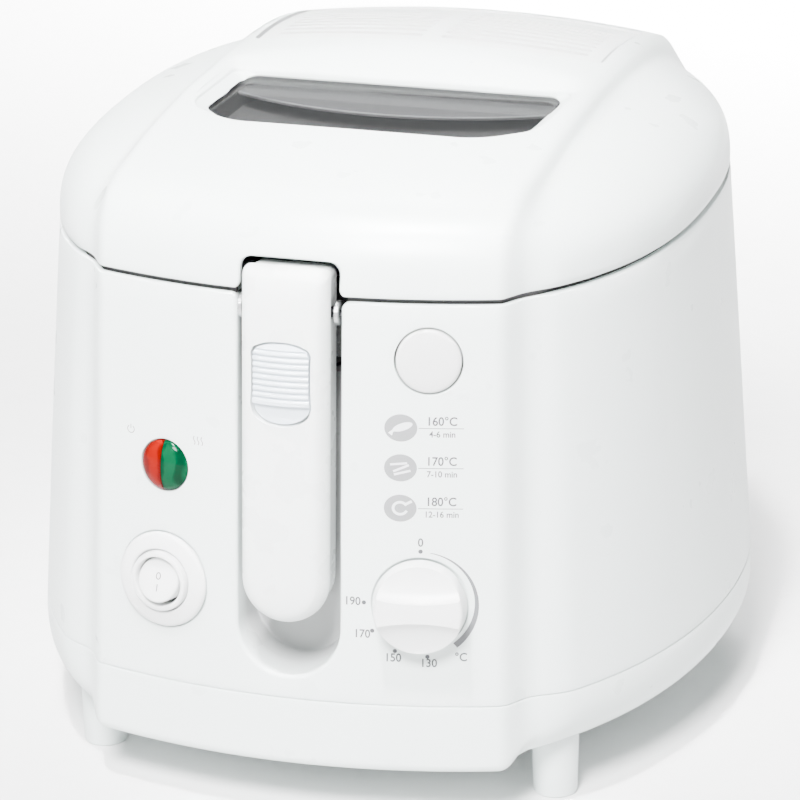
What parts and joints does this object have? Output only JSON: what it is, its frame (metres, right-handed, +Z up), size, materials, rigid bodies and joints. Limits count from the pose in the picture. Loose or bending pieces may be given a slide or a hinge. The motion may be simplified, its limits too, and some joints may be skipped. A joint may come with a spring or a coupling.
{
  "type": "deep fryer",
  "caption": "Countertop deep fryer with an oil pan, hinged lid with viewing window and filter, lift-up basket on a fold-out handle, thermostat knob, rocker switch and lid button.",
  "frame": {"origin": "on the table, under the middle of the fryer's outline, handle, knob, hinges and cable gland included", "axes": "+Z up; the handle and controls face -Y, the lid's hinge is at +Y; +X is to the viewer's right"},
  "size_m": [0.2482, 0.2931, 0.226],
  "materials": {
    "white_plastic": "smooth semi-gloss white moulding",
    "handle_white": "smooth semi-gloss white moulding",
    "slider_white": "bluish white, ribbed across",
    "control_white": "smooth semi-gloss white",
    "button_grey": "light grey, satin",
    "holder_white": "plain moulding, inside the case",
    "cover_white": "satin white",
    "lens_red": "clear red lens",
    "lens_green": "clear green lens",
    "window_glass": "clear, grey from the steam side",
    "rubber": "matte grey silicone",
    "aluminium": "plain rolled sheet",
    "pan_coating": "dark non-stick coating",
    "element": "oxidised heater sheath",
    "steel": "bright sheet and wire",
    "mesh_steel": "plated wire mesh",
    "copper": "bare copper tube",
    "black_plastic": "black moulding",
    "grey_plastic": "heat-proof grey moulding",
    "ceramic": "cream heat-proof moulding",
    "charcoal": "carbon foam",
    "felt": "white filter felt"
  },
  "bodies": {
    "case": {"housing": "white_plastic", "base_tray": "white_plastic", "foot_front_left": "white_plastic", "foot_front_right": "white_plastic", "foot_rear_left": "white_plastic", "foot_rear_right": "white_plastic", "rim_collar": "grey_plastic", "oil_pan": "pan_coating", "heating_element": "element", "heat_shield": "aluminium", "element_clamp": "steel", "thermal_fuse": "ceramic", "sensor_capillary": "copper", "sensor_bulb": "copper", "thermostat_body": "ceramic", "switch_bezel": "control_white", "switch_body": "black_plastic", "lamp_lens_red": "lens_red", "lamp_lens_green": "lens_green", "lamp_holder": "holder_white", "button_guide": "holder_white", "button_spring": "steel", "latch_pin": "steel", "latch_bracket": "holder_white", "handle_bracket": "steel", "handle_pin": "steel", "hinge_pin_left": "steel", "hinge_pin_right": "steel", "cable_gland": "black_plastic", "terminal_block": "ceramic"},
    "lid": {"lid_shell": "white_plastic", "window_glass": "window_glass", "window_seal": "rubber", "inner_lid": "aluminium", "lid_seal": "rubber", "filter_tray": "holder_white", "carbon_filter": "charcoal", "grease_filter": "felt"},
    "filter_door": {"filter_cover": "cover_white"},
    "knob": {"thermostat_knob": "control_white", "thermostat_shaft": "steel"},
    "rocker_switch": {"rocker": "control_white"},
    "lid_button": {"release_button": "button_grey"},
    "latch": {"latch_lever": "holder_white"},
    "handle": {"basket_handle": "handle_white"},
    "handle_slider": {"release_slider": "slider_white"},
    "basket": {"basket_mesh": "mesh_steel", "basket_rim": "steel", "basket_hanger": "steel"}
  },
  "joints": [
    {"name": "lid_hinge", "type": "hinge", "parent": "case", "child": "lid", "pos_m": [0, 0.138, 0.186], "axis": [-1, 0, 0], "range_deg": [0, 80]},
    {"name": "filter_cover_lift", "type": "slide", "parent": "lid", "child": "filter_door", "axis": [0, 0, 1], "range_m": [0, 0.03]},
    {"name": "thermostat_turn", "type": "hinge", "parent": "case", "child": "knob", "pos_m": [0.0448, -0.13139, 0.08], "axis": [-0.2037, 0.9774, -0.0564], "range_deg": [-270, 0]},
    {"name": "rocker_tilt", "type": "hinge", "parent": "case", "child": "rocker_switch", "pos_m": [-0.0455, -0.13126, 0.0797], "axis": [0.9783, -0.207, 0], "range_deg": [0, 16]},
    {"name": "lid_button_press", "type": "slide", "parent": "case", "child": "lid_button", "axis": [-0.2124, 0.9756, -0.0563], "range_m": [0, 0.0035], "stiffness_N_per_m": 600, "springref_m": -0.002, "deforming": ["button_spring"]},
    {"name": "latch_swing", "type": "hinge", "parent": "case", "child": "latch", "pos_m": [0.0468, -0.1065, 0.135], "axis": [-1, 0, 0], "range_deg": [0, 7]},
    {"name": "handle_hinge", "type": "hinge", "parent": "case", "child": "handle", "pos_m": [0, -0.127, 0.179], "axis": [-1, 0, 0], "range_deg": [0, 90]},
    {"name": "handle_slider_slide", "type": "slide", "parent": "handle", "child": "handle_slider", "axis": [0, -0.0576, -0.9983], "range_m": [0, 0.004], "stiffness_N_per_m": 400, "springref_m": -0.002},
    {"name": "basket_lift", "type": "slide", "parent": "case", "child": "basket", "axis": [0, 0, 1], "range_m": [0, 0.044]}
  ],
  "couplings": [
    {"joint": "latch_swing", "follows": "lid_button_press", "rad_per_m": 34.48},
    {"joint": "basket_lift", "follows": "handle_hinge", "m_per_rad": 0.028}
  ]
}
